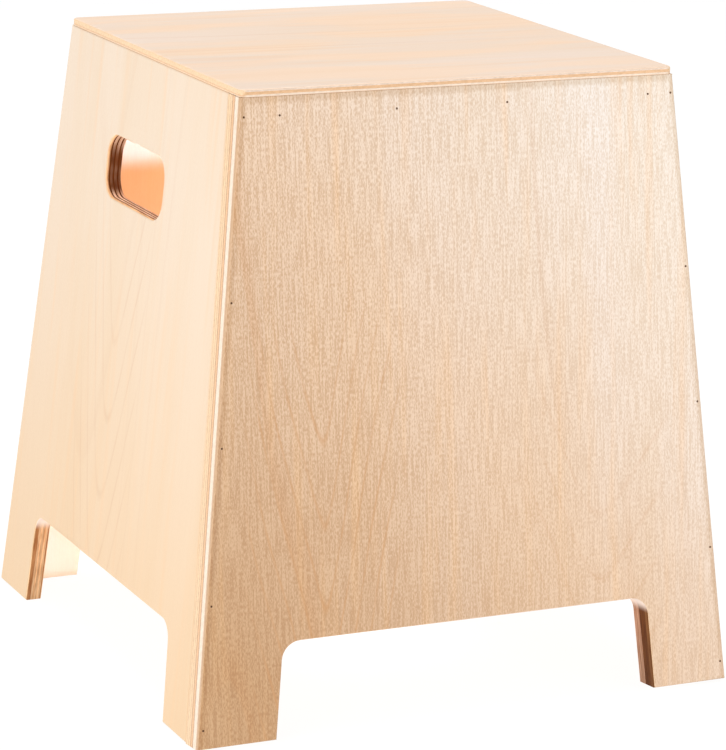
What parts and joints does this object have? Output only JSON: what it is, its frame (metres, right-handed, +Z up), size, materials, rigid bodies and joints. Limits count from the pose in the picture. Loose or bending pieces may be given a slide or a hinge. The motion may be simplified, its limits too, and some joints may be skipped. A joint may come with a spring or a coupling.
{
  "type": "cajon",
  "caption": "Tapered plywood box drum on four legs, with a thin top board to play or sit on, a thick front board, a slot in each side and an open bottom.",
  "frame": {"origin": "centre of the square footprint, at the level of the floor under the legs", "axes": "+Z up, -Y out of the front panel, +X to the right seen from the front"},
  "size_m": [0.398, 0.3978, 0.43],
  "materials": {
    "top_veneer": "satin birch plywood, grain along X",
    "front_ply": "satin rotary-cut birch plywood, grain upright",
    "side_ply": "satin birch plywood, grain upright",
    "back_ply": "satin birch plywood, grain upright",
    "batten_wood": "planed softwood",
    "brad_steel": "dark brad wire"
  },
  "bodies": {
    "root": {"top_board": "top_veneer", "front_panel": "front_ply", "left_side_panel": "side_ply", "right_side_panel": "side_ply", "back_panel": "back_ply", "front_batten": "batten_wood", "back_batten": "batten_wood", "left_batten": "batten_wood", "right_batten": "batten_wood", "front_brads": "brad_steel"}
  },
  "joints": []
}
